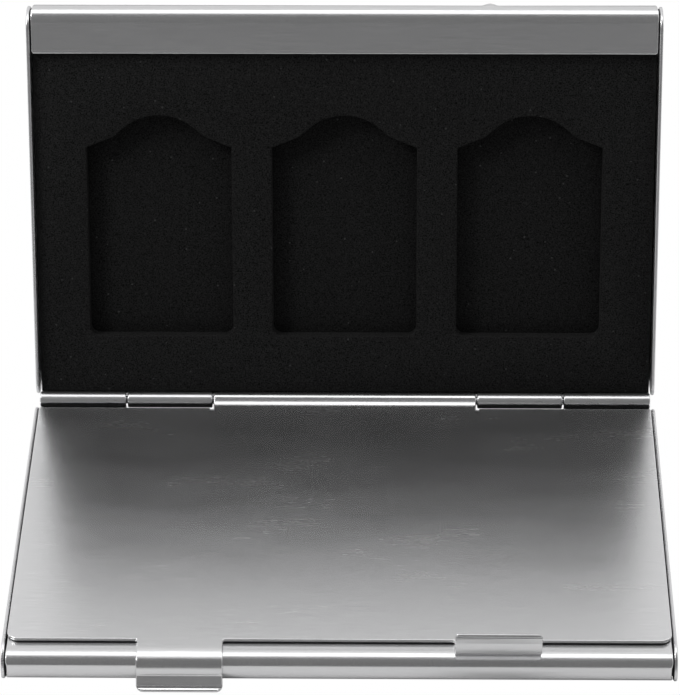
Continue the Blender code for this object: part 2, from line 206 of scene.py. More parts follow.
# Pin steel
WIRE_SCALES = (60.0, 9000.0, 9000.0)
WIRE_DETAIL = 3.0
WIRE_TONES = ((0.50, 0.50, 0.52), (0.66, 0.66, 0.67))
WIRE_ROUGHNESS = (0.2, 0.36)

# Adhesive film
FIBRE_SCALE = 1400.0
FIBRE_DETAIL = 5.0
FILM_TONES = ((0.62, 0.60, 0.53), (0.80, 0.78, 0.72))
FILM_ROUGHNESS = (0.35, 0.6)

# Camera, found by fitting the case's outlines to the photograph
CAMERA_PLACE = (0.00843, -0.41217, 0.32820)
CAMERA_TURN = (0.95493, 0.00717, 0.01546)
CAMERA_LENS = 188.862
SENSOR_WIDTH = 36.0
CAMERA_CLIP_START = 0.01

# Studio
SOFTBOX_SIZE = (0.60, 0.10)
SOFTBOX_PLACE = (0.0, 0.040, 0.300)
SOFTBOX_RADIANCE = 1.4
KEY_SIZE = (0.16, 0.16)
KEY_PLACE = (-0.40, -0.12, 0.50)
KEY_RADIANCE = 12.0
FRONT_LEVEL = 0.16
BACK_LEVEL = 0.70
FRONT_Y = -0.20
BACK_Y = 0.10
FLOOR_SIZE = 2.0
FLOOR_FRONT_Y = -0.38
FLOOR_DROP = 0.00002
PAPER_COLOUR = (0.82, 0.82, 0.82, 1)
PAPER_ROUGHNESS = 0.9
PAPER_SPECULAR = 0.1
WHITE = (1, 1, 1, 1)

# Worked out from the sizes above
HALF_SHEET = SHEET / 2
LEAF_HALF_WIDTH = CASE_WIDTH / 2 - SHEET - SIDE_CLEARANCE
SIDE_BEND_MIDDLE = SIDE_CLEARANCE + HALF_SHEET
BASE_H = HALF_SHEET - HALF_THICKNESS
LIP_H = -(SHEET + LIP_CLEARANCE)
LIP_EDGE_D = FRONT_D - LIP_WIDTH
SHOULDER_TURN, CORNER_TURN = math.radians(ROLL_SHOULDER_END), math.radians(ROLL_CORNER_END)
SHOULDER_SPAN = ROLL_SHOULDER_RADIUS - ROLL_CORNER_RADIUS
CORNER_DEPTH = SHOULDER_SPAN * math.sin(SHOULDER_TURN) + ROLL_CORNER_RADIUS * math.sin(CORNER_TURN)
CORNER_RISE = ROLL_SHOULDER_RADIUS - SHOULDER_SPAN * math.cos(SHOULDER_TURN)
CORNER_RISE -= ROLL_CORNER_RADIUS * math.cos(CORNER_TURN)
ROLL_FACE_RADIUS = ((LIP_H - BASE_H) / 2 - CORNER_RISE) / math.cos(CORNER_TURN)
ROLL_DEPTH = CORNER_DEPTH + ROLL_FACE_RADIUS * (1 - math.sin(CORNER_TURN))
ROLL_D = FRONT_D - HALF_SHEET - ROLL_DEPTH
KNUCKLE_MIDDLE = KNUCKLE_RADIUS - HALF_SHEET
PIN_RADIUS = KNUCKLE_RADIUS - SHEET - PIN_CLEARANCE
REAR_BEND_MIDDLE = REAR_BEND_RADIUS - HALF_SHEET
REAR_BEND_D = REAR_WALL_D + REAR_BEND_MIDDLE
FOAM_REAR_D = REAR_WALL_D + HALF_SHEET + FOAM_CLEARANCE
EASE_D = REAR_WALL_D + KNUCKLE_EASE_RADIUS
EASE_REACH = KNUCKLE_MIDDLE + KNUCKLE_EASE_RADIUS
EASE_TURN = math.degrees(math.acos(EASE_D / EASE_REACH))
EASE_H = -math.sqrt(EASE_REACH**2 - EASE_D**2)
REAR_BEND_H = BASE_H + REAR_BEND_MIDDLE
PLATE_FRONT_D = FRONT_D - PLATE_SETBACK
SWEEP_D = math.sqrt(KNUCKLE_MIDDLE**2 + 2 * SWEEP_RADIUS * KNUCKLE_MIDDLE)
SWEEP_TOP = math.degrees(math.atan2(SWEEP_RADIUS, SWEEP_D))
HALF_GAP = KNUCKLE_GAP / 2


# Places and pieces


def leaf_place(opening, turned_over=False):
    """The matrix from a leaf's own (x, -d, h) to the model, opened by an angle about the pin."""
    place = Matrix.Translation(PIN_AXIS) @ Matrix.Rotation(-math.radians(opening), 4, "X")
    return place @ Matrix.Rotation(math.pi, 4, "Y") if turned_over else place


def scene_object(name, data):
    """An object for a mesh, a camera or a light, placed in the scene."""
    holder = bpy.data.objects.new(name, data)
    bpy.context.scene.collection.objects.link(holder)
    return holder


def smooth_piece(name, bm, sharp):
    """A smooth shaded piece whose edges stay crisp where they are sharper than an angle."""
    mesh = bpy.data.meshes.new(name)
    bm.to_mesh(mesh)
    bm.free()
    mesh.shade_smooth()
    mesh.set_sharp_from_angle(angle=math.radians(sharp))
    return scene_object(name, mesh)


def soften_edges(piece, radius, segments):
    """Rounds a piece's sharp edges and returns the modifier that does it."""
    edges = piece.modifiers.new("edges", "BEVEL")
    edges.width = radius
    edges.segments = segments
    edges.limit_method = "ANGLE"
    edges.angle_limit = math.radians(SOFTENED_ANGLE)
    return edges


# Bent sheet


def step_along(d, h, heading, curve, length):
    """The point and heading after this length of a line or an arc of that curvature."""
    if not curve:
        return d + length * math.cos(heading), h + length * math.sin(heading), heading
    after = heading + curve * length
    d += (math.sin(after) - math.sin(heading)) / curve
    return d, h + (math.cos(heading) - math.cos(after)) / curve, after


class Course:
    """The middle line of a bent sheet, in legs of (length, 0) or (radius, degrees to the left)."""

    def __init__(self, d, h, heading, *legs):
        self.legs = []
        s, heading = 0.0, math.radians(heading)
        for size, degrees in legs:
            turn = math.radians(degrees)
            length = size * abs(turn) if degrees else size
            curve = turn / length if degrees else 0.0
            self.legs.append((s, length, d, h, heading, curve))
            d, h, heading = step_along(d, h, heading, curve, length)
            s += length
        self.length = s

    def at(self, s):
        """The point (d, h) and the heading at this length."""
        leg = [leg for leg in self.legs if leg[0] <= s + SCORE_TOLERANCE][-1]
        return step_along(*leg[2:], s - leg[0])

    def turned(self, degrees):
        """The length at which the sheet has turned this far to the left."""
        turn = math.radians(degrees) - SCORE_TOLERANCE
        for s, length, _, _, heading, curve in self.legs:
            if curve > 0 and heading + curve * length >= turn:
                return s + (turn - heading) / curve
        return self.length

    def scores(self, support=None):
        """The lengths at which the sheet is scored so that bends come out round and flats stay flat."""
        out = []
        for s, length, *_, curve in self.legs:
            steps = 1
            if curve:
                inner = length * (1 - HALF_SHEET * abs(curve))
                steps = round(abs(math.degrees(curve * length)) / BEND_STEP)
                steps = max(2, min(steps, int(inner / LEAST_SCORE_SPACING)))
            elif support and length > SUPPORTED_LENGTH:
                out += [s + support, s + length - support]
            out += [s + length * k / steps for k in range(steps)]
        return sorted(out)


def rounded(corners, step=CORNER_STEP):
    """A closed outline from (u, v, radius) corners, each rounded by its radius."""
    out = []
    for i, (u, v, radius) in enumerate(corners):
        if not radius:
            out.append((u, v))
            continue
        before, after = corners[i - 1], corners[(i + 1) % len(corners)]
        a = math.atan2(before[1] - v, before[0] - u)
        b = math.atan2(after[1] - v, after[0] - u)
        inside = (b - a) % math.tau
        turn = 1.0 if inside < math.pi else -1.0
        inside = min(inside, math.tau - inside)
        middle, reach = a + turn * inside / 2, radius / math.sin(inside / 2)
        cu, cv = u + reach * math.cos(middle), v + reach * math.sin(middle)
        swept = math.pi - inside
        steps = max(1, round(math.degrees(swept) / step))
        for k in range(steps + 1):
            angle = a - turn * (math.pi / 2 + swept * k / steps)
            out.append((cu + radius * math.cos(angle), cv + radius * math.sin(angle)))
    return out


def mirrored(right):
    """The whole outline from the corners of its right half, listed from the rear to the front."""
    return rounded([*right, *((-x, s, radius) for x, s, radius in reversed(right))])


def score(bm, positions, axis, inside):
    """Cuts the blank's faces along lines across an axis, where their middle passes the test."""
    normal = Vector((axis == "x", axis == "s", 0))
    for position in positions:
        faces = [f for f in bm.faces if inside(f.calc_center_median())]
        parts = {e for f in faces for e in f.edges} | {v for f in faces for v in f.verts}
        bmesh.ops.bisect_plane(
            bm, geom=[*faces, *parts], dist=SCORE_TOLERANCE, plane_co=normal * position, plane_no=normal
        )


def flat_blank(outline):
    """The flat sheet inside a closed outline of (x, s) points."""
    bm = bmesh.new()
    bm.faces.new([bm.verts.new((x, s, 0)) for x, s in outline])
    return bm


def folded_piece(name, bm, fold, place, on_flange=lambda x: False):
    """The finished sheet piece: brushing map from the flat blank, folded, thickened, edges softened."""
    brushing = bm.loops.layers.uv.new("brushing")
    for face in bm.faces:
        turned = on_flange(face.calc_center_median().x)
        for loop in face.loops:
            x, s = loop.vert.co.xy
            loop[brushing].uv = (s, x) if turned else (x, s)
    for vert in bm.verts:
        x, d, h = fold(*vert.co.xy)
        vert.co = place @ Vector((x, -d, h))
    mesh = bpy.data.meshes.new(name)
    bm.to_mesh(mesh)
    bm.free()
    mesh.shade_smooth()
    piece = scene_object(name, mesh)
    thickness = piece.modifiers.new("thickness", "SOLIDIFY")
    thickness.thickness = SHEET
    thickness.offset = 0
    thickness.use_even_offset = True
    soften_edges(piece, EDGE_RADIUS, EDGE_SEGMENTS).use_clamp_overlap = False
    piece.modifiers.new("flats", "WEIGHTED_NORMAL")
    return piece


# Trays


def tray_courses():
    """The tray's courses: round the rear bend to the hinge curl, over the rolled front, and up a side."""
    rear = Course(
        REAR_BEND_D, BASE_H, 180,
        (REAR_BEND_MIDDLE, -90), (EASE_H - REAR_BEND_H, 0),
        (KNUCKLE_EASE_RADIUS, -EASE_TURN), (KNUCKLE_MIDDLE, TRAY_CURL_END + EASE_TURN),
    )
    shoulder = (ROLL_SHOULDER_RADIUS, ROLL_SHOULDER_END)
    corner = (ROLL_CORNER_RADIUS, ROLL_CORNER_END - ROLL_SHOULDER_END)
    face = (ROLL_FACE_RADIUS, 180 - 2 * ROLL_CORNER_END)
    front = Course(
        ROLL_D, BASE_H, 0, shoulder, corner, face, corner, shoulder, (ROLL_D - LIP_EDGE_D, 0)
    )
    wall = -RIM_H - BASE_H - SIDE_BEND_MIDDLE
    side = Course(LEAF_HALF_WIDTH, BASE_H, 0, (SIDE_BEND_MIDDLE, 90), (wall, 0))
    return rear, front, side


def tray_blank(rear, front, side, knuckles):
    """The flat outline of a tray: hinge tabs, side flanges parted by slits, and the roll with its lip."""
    window = REAR_BEND_D - REAR_BEND_MIDDLE * math.pi / 2 + WINDOW_SETBACK
    tip = REAR_BEND_D - rear.length
    wide = LEAF_HALF_WIDTH - SLIT_SETBACK
    cut = CUT_CORNER_RADIUS
    right = []
    for low, high in knuckles:
        right += [(low, window, cut), (low, tip, cut), (high, tip, cut)]
        if high < wide:
            right.append((high, window, cut))
    if knuckles[-1][1] < wide:
        right.append((wide, window, cut))
    slit = LEAF_HALF_WIDTH + SIDE_BEND_MIDDLE * math.radians(SLIT_ANGLE)
    rim = LEAF_HALF_WIDTH + side.length
    front_d = FRONT_D + FLANGE_OVERHANG
    right += [
        (wide, REAR_BEND_D, SLIT_ROOT_RADIUS),
        (slit, REAR_BEND_D, SLIT_ROOT_RADIUS),
        (slit, FLANGE_REAR_D, FLANGE_HEEL_RADIUS),
        (rim, FLANGE_REAR_D, FLANGE_REAR_RADIUS),
        (rim, front_d, FLANGE_RIM_RADIUS),
        (slit, front_d, FLANGE_FOOT_RADIUS),
        (slit, ROLL_D, SLIT_ROOT_RADIUS),
        (wide, ROLL_D, SLIT_ROOT_RADIUS),
    ]
    for angle, depth in zip(ROLL_END_ANGLES, (0, ROLL_END_CUT, ROLL_END_CUT, 0)):
        right.append((wide - depth, ROLL_D + front.turned(90 - angle), 0))
    right.append((wide, ROLL_D + front.length, LIP_CORNER_RADIUS))
    return flat_blank(mirrored(right))


def bump_height(away):
    """How far the detent bump stands out of the rolled front at a distance from its middle."""
    share = away / BUMP_RADIUS
    return BUMP_HEIGHT * math.cos(math.pi / 2 * share) ** 2 if share < 1 else 0.0


def make_tray(name, place, knuckles):
    """A tray with knuckles at these (from, to) distances from the middle, and their mirror images."""
    rear, front, side = tray_courses()
    bm = tray_blank(rear, front, side, knuckles)
    wide = LEAF_HALF_WIDTH
    score(bm, (-wide, wide), "x", lambda c: True)
    score(bm, [REAR_BEND_D - s for s in rear.scores()], "s", lambda c: abs(c.x) < wide)
    score(bm, [ROLL_D + s for s in front.scores()], "s", lambda c: abs(c.x) < wide)
    for turned in (-1, 1):
        lines = [turned * (wide + s) for s in side.scores()]
        score(bm, lines, "x", lambda c, turned=turned: turned * c.x > wide)
    roll_end = ROLL_D + front.turned(180)
    bump_s = ROLL_D + front.turned(90 - BUMP_ANGLE)
    across = [-BUMP_X + BUMP_RADIUS * (2 * k / BUMP_CUTS - 1) for k in range(BUMP_CUTS + 1)]
    score(bm, across, "x", lambda c: abs(c.x) < wide and ROLL_D < c.y < roll_end)

    def fold(x, s):
        if abs(x) > wide + SCORE_TOLERANCE:
            out, h, _ = side.at(abs(x) - wide)
            return math.copysign(out, x), s, h
        if s < REAR_BEND_D:
            d, h, _ = rear.at(REAR_BEND_D - s)
            return x, d, h
        if s < ROLL_D:
            return x, s, BASE_H
        d, h, heading = front.at(s - ROLL_D)
        proud = bump_height(math.hypot(x + BUMP_X, s - bump_s))
        return x, d + proud * math.sin(heading), h - proud * math.cos(heading)

    return folded_piece(name, bm, fold, place, on_flange=lambda x: abs(x) > wide)


# Middle plate


def tongue_course(label):
    """Where a latch tongue leaves the flat plate, and its bends."""
    start = FRONT_D - TONGUE_SETBACK[label]
    return start, Course(start, 0, 0, *TONGUE_LEGS[label])


def make_middle_plate(place):
    """The plate with its hinge knuckle, relief notches and two latch tongues, the right one bent up."""
    sweep = Course(
        SWEEP_D, 0, 180,
        (SWEEP_RADIUS, SWEEP_TOP - 90), (KNUCKLE_MIDDLE, PLATE_CURL_END - SWEEP_TOP),
    )
    knuckle = MIDDLE_KNUCKLE_END - HALF_GAP
    notch = knuckle + RELIEF_WIDTH
    wide, cut, root = LEAF_HALF_WIDTH, CUT_CORNER_RADIUS, TONGUE_ROOT_RADIUS
    low, high = TONGUE_X - TONGUE_WIDTH / 2, TONGUE_X + TONGUE_WIDTH / 2
    tongues = {-1: tongue_course("left"), 1: tongue_course("right")}

    def half(side):
        start, tongue = tongues[side]
        tip = start + tongue.length
        corner = TONGUE_CORNER_RADIUS["right" if side > 0 else "left"]
        return [
            (side * knuckle, SWEEP_D - sweep.length, cut),
            (side * knuckle, RELIEF_D, SLIT_ROOT_RADIUS),
            (side * notch, RELIEF_D, SLIT_ROOT_RADIUS),
            (side * notch, PLATE_REAR_D, cut),
            (side * wide, PLATE_REAR_D, cut),
            (side * wide, PLATE_FRONT_D, PLATE_CORNER_RADIUS),
            (side * high, PLATE_FRONT_D, root),
            (side * high, tip, corner),
            (side * low, tip, corner),
            (side * low, PLATE_FRONT_D, root),
        ]

    bm = flat_blank(rounded(half(1) + half(-1)[::-1]))
    score(bm, [SWEEP_D - s for s in sweep.scores()], "s", lambda c: abs(c.x) < notch)
    score(bm, [PLATE_FRONT_D], "s", lambda c: c.y > RELIEF_D)
    for side, (start, tongue) in tongues.items():
        positions = [start + s for s in tongue.scores(TONGUE_FLAT_SUPPORT)]
        score(bm, positions, "s", lambda c, side=side: c.y > PLATE_FRONT_D and c.x * side > 0)

    def fold(x, s):
        if abs(x) < notch and s < SWEEP_D:
            d, h, _ = sweep.at(SWEEP_D - s)
            return x, d, h
        side = 1 if x > 0 else -1
        start, tongue = tongues[side]
        if s > start:
            d, h, _ = tongue.at(s - start)
            return x, d, -side * h
        return x, s, 0.0

    return folded_piece("middle_plate_sheet", bm, fold, place)


# Hinge pin


def make_hinge_pin(place):
    """The pin, turned from a profile with a slightly domed end."""
    half = LEAF_HALF_WIDTH - HALF_GAP
    profile = []
    for k in range(PIN_DOME_RINGS + 1):
        angle = math.pi / 2 * k / PIN_DOME_RINGS
        profile.append((half - PIN_DOME + PIN_DOME * math.cos(angle), PIN_RADIUS * math.sin(angle)))
    profile += [(-x, r) for x, r in reversed(profile)]
    bm = bmesh.new()
    line = [bm.verts.new((x, r, 0)) for x, r in profile]
    edges = [bm.edges.new(pair) for pair in zip(line, line[1:])]
    bmesh.ops.spin(
        bm, geom=[*line, *edges], cent=(0, 0, 0), axis=(1, 0, 0), angle=math.tau, steps=PIN_SEGMENTS
    )
    bmesh.ops.remove_doubles(bm, verts=bm.verts, dist=SCORE_TOLERANCE)
    bmesh.ops.recalc_face_normals(bm, faces=bm.faces)
    bmesh.ops.transform(bm, matrix=place, verts=bm.verts)
    return smooth_piece("hinge_pin_steel", bm, SHARP_ANGLE)


# Nodes


def new_group(name, inputs, outputs, kind="ShaderNodeTree"):
    """An empty node group with (label, kind) sockets, its input sockets and its output node."""
    tree = bpy.data.node_groups.new(name, kind)
    for direction, sockets in (("INPUT", inputs), ("OUTPUT", outputs)):
        for label, data in sockets:
            tree.interface.new_socket(label, in_out=direction, socket_type=f"NodeSocket{data}")
    return tree, tree.nodes.new("NodeGroupInput").outputs, tree.nodes.new("NodeGroupOutput")


def add_node(tree, kind, values=(), **settings):
    """A node with its settings, and its inputs set from a dict of values or linked sockets."""
    node = tree.nodes.new(kind)
    for key, value in settings.items():
        setattr(node, key, value)
    for key, value in dict(values).items():
        if isinstance(value, bpy.types.NodeSocket):
            tree.links.new(value, node.inputs[key])
        else:
            node.inputs[key].default_value = value
    return node


def place_group(tree, group, values):
    """The outputs of a shader group placed in a tree, with its inputs set."""
    return add_node(tree, "ShaderNodeGroup", values, node_tree=group).outputs


def maths(tree, operation, *values):
    """The result of one sum, product or comparison of values or sockets."""
    return add_node(tree, "ShaderNodeMath", dict(enumerate(values)), operation=operation).outputs[0]


def mapped(tree, value, from_range=(0.0, 1.0), to_range=(0.0, 1.0), **settings):
    """A value mapped from one range onto another."""
    values = dict(enumerate([value, *from_range, *to_range]))
    return add_node(tree, "ShaderNodeMapRange", values, **settings).outputs[0]


def mixed_colour(tree, share, first, second):
    """A colour between two others, which are sockets or (red, green, blue)."""
    values = {"Factor": share}
    for key, colour in ((6, first), (7, second)):
        values[key] = (*colour, 1) if isinstance(colour, tuple) else colour
    return add_node(tree, "ShaderNodeMix", values, data_type="RGBA").outputs[2]


def noise(tree, vector, scale, detail, **settings):
    """Noise of a scale and detail at this place."""
    values = {"Vector": vector, "Scale": scale, "Detail": detail}
    return add_node(tree, "ShaderNodeTexNoise", values, **settings).outputs[0]


def stretched(tree, vector, scales):
    """A vector multiplied by a scale on each axis."""
    return add_node(
        tree, "ShaderNodeVectorMath", {0: vector, 1: scales}, operation="MULTIPLY"
    ).outputs[0]


def own_place(tree):
    """The place on a piece, in its own coordinates."""
    return add_node(tree, "ShaderNodeTexCoord").outputs["Object"]


# Foam


def pocket_outline():
    """A card pocket seen from above: square at the pin's side, a thumb arch at the front."""
    half = POCKET_WIDTH / 2
    slope, flank = math.radians(SHOULDER_SLOPE), math.radians(ARCH_FLANK)
    arch_d = POCKET_FRONT_D + ARCH_HEIGHT - ARCH_RADIUS
    touch_x = ARCH_RADIUS * math.sin(flank)
    touch_d = arch_d + ARCH_RADIUS * math.cos(flank)
    rise = touch_d + math.tan(flank) * touch_x - POCKET_FRONT_D - math.tan(slope) * half
    meet_x = rise / (math.tan(flank) - math.tan(slope))
    meet_d = POCKET_FRONT_D + math.tan(slope) * (half - meet_x)
    steps = round(2 * ARCH_FLANK / BEND_STEP)
    turns = [flank * (2 * k / steps - 1) for k in range(steps + 1)]
    arch = [(-ARCH_RADIUS * math.sin(a), arch_d + ARCH_RADIUS * math.cos(a), 0) for a in turns]
    corners = [
        (-half, POCKET_REAR_D, POCKET_CORNER_RADIUS),
        (half, POCKET_REAR_D, POCKET_CORNER_RADIUS),
        (half, POCKET_FRONT_D, 0),
        (meet_x, meet_d, ARCH_BLEND_RADIUS),
        *arch,
        (-meet_x, meet_d, ARCH_BLEND_RADIUS),
        (-half, POCKET_FRONT_D, 0),
    ]
    return rounded(corners)


def outline_object(name, outline):
    """A closed line of edges along an outline of (x, d) points."""
    mesh = bpy.data.meshes.new(name)
    after = [*range(1, len(outline)), 0]
    mesh.from_pydata([(x, -d, 0) for x, d in outline], list(enumerate(after)), [])
    return scene_object(name, mesh)


def die_cut_tree():
    """Geometry nodes that cut a row of pockets out of a sheet's outline and give it its thickness."""
    sockets = (
        ("Outline", "Geometry"), ("Pocket", "Object"), ("Pockets", "Int"),
        ("Pitch", "Float"), ("Thickness", "Float"), ("Foam", "Material"),
    )
    tree, given, out = new_group(
        "die_cut_sheet", sockets, [("Sheet", "Geometry")], "GeometryNodeTree"
    )
    pitches = maths(tree, "SUBTRACT", given["Pockets"], 1.0)
    reach = maths(tree, "MULTIPLY", pitches, given["Pitch"])
    first = add_node(tree, "ShaderNodeCombineXYZ", {0: maths(tree, "MULTIPLY", reach, -0.5)})
    pitch = add_node(tree, "ShaderNodeCombineXYZ", {0: given["Pitch"]})
    row = add_node(
        tree, "GeometryNodeMeshLine",
        {"Count": given["Pockets"], "Start Location": first.outputs[0], "Offset": pitch.outputs[0]},
    )
    shape = add_node(tree, "GeometryNodeObjectInfo", {"Object": given["Pocket"]})
    pockets = add_node(
        tree, "GeometryNodeInstanceOnPoints",
        {"Points": row.outputs[0], "Instance": shape.outputs["Geometry"]},
    )
    cuts = add_node(tree, "GeometryNodeJoinGeometry", {0: pockets.outputs[0]})
    tree.links.new(given["Outline"], cuts.inputs[0])
    lines = add_node(tree, "GeometryNodeRealizeInstances", {0: cuts.outputs[0]})
    curves = add_node(tree, "GeometryNodeMeshToCurve", {0: lines.outputs[0]})
    face = add_node(tree, "GeometryNodeFillCurve", {0: curves.outputs[0]}, mode="NGONS").outputs[0]
    raised = add_node(
        tree, "GeometryNodeExtrudeMesh",
        {"Mesh": face, "Offset Scale": given["Thickness"], "Individual": False}, mode="FACES",
    )
    under = add_node(tree, "GeometryNodeFlipFaces", {0: face})
    both = add_node(tree, "GeometryNodeJoinGeometry", {0: raised.outputs[0]})
    tree.links.new(under.outputs[0], both.inputs[0])
    closed = add_node(
        tree, "GeometryNodeMergeByDistance", {0: both.outputs[0], "Distance": SCORE_TOLERANCE}
    )
    real = add_node(tree, "GeometryNodeRealizeInstances", {0: closed.outputs[0]})
    foam = add_node(
        tree, "GeometryNodeSetMaterial", {"Geometry": real.outputs[0], "Material": given["Foam"]}
    )
    tree.links.new(foam.outputs[0], out.inputs[0])
    return tree


def make_foam(name, place, tree, pocket, pockets, low_h, thickness, edge_radius, material):
    """A die-cut foam sheet: soft cut edges, and a rear edge that follows the tray's rear bend."""
    half = CASE_WIDTH / 2 - SHEET - FOAM_CLEARANCE
    rear, front = FOAM_REAR_D, FRONT_D - FOAM_SETBACK
    guide = outline_object(name, [(-half, rear), (half, rear), (half, front), (-half, front)])
    die_cut = guide.modifiers.new("die_cut", "NODES")
    die_cut.node_group = tree
    values = {
        "Pocket": pocket, "Pockets": pockets, "Pitch": POCKET_PITCH,
        "Thickness": thickness, "Foam": material,
    }
    for item in tree.interface.items_tree:
        if item.name in values:
            die_cut[item.identifier] = values[item.name]
    soften_edges(guide, edge_radius, FOAM_EDGE_SEGMENTS)
    cut_sheet = guide.evaluated_get(bpy.context.evaluated_depsgraph_get())
    made = bpy.data.meshes.new_from_object(cut_sheet)
    bpy.data.objects.remove(guide)
    bm = bmesh.new()
    bm.from_mesh(made)
    bmesh.ops.remove_doubles(bm, verts=bm.verts, dist=SCORE_TOLERANCE)
    bend = REAR_BEND_RADIUS - SHEET - FOAM_CLEARANCE
    for vert in bm.verts:
        vert.co.z += low_h
        below = REAR_BEND_H - vert.co.z
        if 0 < below <= bend:
            follow = REAR_BEND_D - math.sqrt(bend**2 - below**2)
            vert.co.y = min(vert.co.y, -follow)
    bmesh.ops.recalc_face_normals(bm, faces=bm.faces)
    bmesh.ops.transform(bm, matrix=place, verts=bm.verts)
    piece = smooth_piece(name, bm, FOAM_SHARP_ANGLE)
    piece.data.materials.append(material)
    return piece


# Materials


def line_noise(tree, vector, across, along, detail):
    """Noise drawn out along the brushing: one cell is this wide and this long, in metres."""
    scaled = stretched(tree, vector, (1 / along, 1 / across, 1))
    return noise(tree, scaled, 1.0, detail, noise_dimensions="2D")


def brushing_group():
    """Fine lines, broader lines and soft clouds of a brushed sheet, from its blank's own coordinates."""
    tree, given, out = new_group(
        "brushing", [("Blank", "Vector"), ("Broad share", "Float")],
        [("Lines", "Float"), ("Clouds", "Float")],
    )
    fine, broad, clouds = (
        line_noise(tree, given["Blank"], *lines) for lines in (FINE_LINES, BROAD_LINES, CLOUDS)
    )
    lines = add_node(tree, "ShaderNodeMix", {"Factor": given["Broad share"], 2: fine, 3: broad})
    tree.links.new(lines.outputs[0], out.inputs["Lines"])
    tree.links.new(clouds, out.inputs["Clouds"])
    return tree


def burnished_group():
    """A mask of the bends along a sheet's front and rear edges, where rolling smoothed the brushing."""
    tree, given, out = new_group(
        "burnished_bends", [("Blank", "Vector"), ("Rear", "Float"), ("Front", "Float")],
        [("Mask", "Float")],
    )
    parts = add_node(tree, "ShaderNodeSeparateXYZ", {0: given["Blank"]})
    along = maths(tree, "ABSOLUTE", parts.outputs["Y"])
    ahead = maths(tree, "SUBTRACT", along, given["Front"])
    behind = maths(tree, "SUBTRACT", given["Rear"], along)
    nearer = maths(tree, "MAXIMUM", ahead, behind)
    mask = mapped(tree, nearer, (0.0, BURNISH_FADE), interpolation_type="SMOOTHSTEP")
    tree.links.new(mask, out.inputs["Mask"])
    return tree


def edge_wear_group():
    """A mask of the sharp edges, broken up as handling breaks it."""
    tree, given, out = new_group("edge_wear", [("Amount", "Float")], [("Mask", "Float")])
    corners = add_node(tree, "ShaderNodeNewGeometry").outputs["Pointiness"]
    patches = noise(tree, own_place(tree), WEAR_PATCH_SCALE, WEAR_PATCH_DETAIL)
    edge = mapped(tree, corners, WEAR_POINTINESS)
    broken = mapped(tree, patches, WEAR_PATCH_RANGE)
    worn = maths(tree, "MULTIPLY", edge, broken)
    tree.links.new(maths(tree, "MULTIPLY", worn, given["Amount"]), out.inputs["Mask"])
    return tree


def foam_cells_group():
    """Closed-cell foam: fine speckle, a few pale specks, and the height of the skin."""
    tree, given, out = new_group(
        "foam_cells", [("Vector", "Vector")],
        [("Speckle", "Float"), ("Specks", "Float"), ("Height", "Float")],
    )
    grain = noise(tree, given["Vector"], SPECKLE_SCALE, SPECKLE_DETAIL)
    cells = add_node(
        tree, "ShaderNodeTexVoronoi", {"Vector": given["Vector"], "Scale": CELL_SCALE}
    ).outputs
    chosen = add_node(tree, "ShaderNodeSeparateColor", {0: cells["Color"]}).outputs[0]
    rare = maths(tree, "GREATER_THAN", chosen, SPECK_RARITY)
    near = maths(tree, "LESS_THAN", cells["Distance"], SPECK_REACH)
    tree.links.new(mapped(tree, grain, SPECKLE_RANGE), out.inputs["Speckle"])
    tree.links.new(maths(tree, "MULTIPLY", rare, near), out.inputs["Specks"])
    tree.links.new(grain, out.inputs["Height"])
    return tree


def new_material(name):
    """A material, its tree and its Principled node's inputs."""
    material = bpy.data.materials.new(name)
    material.use_nodes = True
    tree = material.node_tree
    return material, tree, tree.nodes["Principled BSDF"].inputs


def brushed_aluminium(name, groups, bends, roughness, burnished, anisotropy):
    """Brushed sheet: the lines run along the blank's u, and blur reflections more across them."""
    material, tree, shader = new_material(name)
    blank = add_node(tree, "ShaderNodeUVMap", uv_map="brushing").outputs[0]
    brushing = place_group(tree, groups["brushing"], {"Blank": blank, "Broad share": BROAD_SHARE})
    wear = place_group(tree, groups["edge_wear"], {"Amount": WEAR_AMOUNT})["Mask"]
    tone = mixed_colour(tree, brushing["Lines"], *BRUSHED_TONES)
    tree.links.new(mixed_colour(tree, wear, tone, WORN_COLOUR), shader["Base Color"])
    rear, front = bends
    rolled = place_group(
        tree, groups["burnished"], {"Blank": blank, "Rear": rear, "Front": front}
    )["Mask"]
    level = mapped(tree, rolled, to_range=(roughness, burnished))
    for part in ("Clouds", "Lines"):
        spread = mapped(tree, brushing[part], to_range=(-ROUGHNESS_SPREAD, ROUGHNESS_SPREAD))
        level = maths(tree, "ADD", level, spread)
    tree.links.new(level, shader["Roughness"])
    shader["Metallic"].default_value = 1.0
    shader["Anisotropic"].default_value = anisotropy
    shader["Anisotropic Rotation"].default_value = BRUSHING_TURN
    tangent = add_node(tree, "ShaderNodeTangent", direction_type="UV_MAP", uv_map="brushing")
    tree.links.new(tangent.outputs[0], shader["Tangent"])
    bump = add_node(
        tree, "ShaderNodeBump",
        {"Strength": 1.0, "Distance": BRUSHING_DEPTH, "Height": brushing["Lines"]},
    )
    tree.links.new(bump.outputs[0], shader["Normal"])
    return material


def black_foam(name, groups, dark, light):
    """Matte foam speckled between two greys, with a few paler specks."""
    material, tree, shader = new_material(name)
    cells = place_group(tree, groups["foam_cells"], {"Vector": own_place(tree)})
    tone = mixed_colour(tree, cells["Speckle"], (dark,) * 3, (light,) * 3)
    specked = mixed_colour(tree, cells["Specks"], tone, SPECK_COLOUR)
    tree.links.new(specked, shader["Base Color"])
    rough = mapped(tree, cells["Speckle"], to_range=FOAM_ROUGHNESS)
    tree.links.new(rough, shader["Roughness"])
    shader["Specular IOR Level"].default_value = FOAM_SPECULAR
    bump = add_node(
        tree, "ShaderNodeBump",
        {"Strength": FOAM_BUMP, "Distance": FOAM_SKIN_DEPTH, "Height": cells["Height"]},
    )
    tree.links.new(bump.outputs[0], shader["Normal"])
    return material


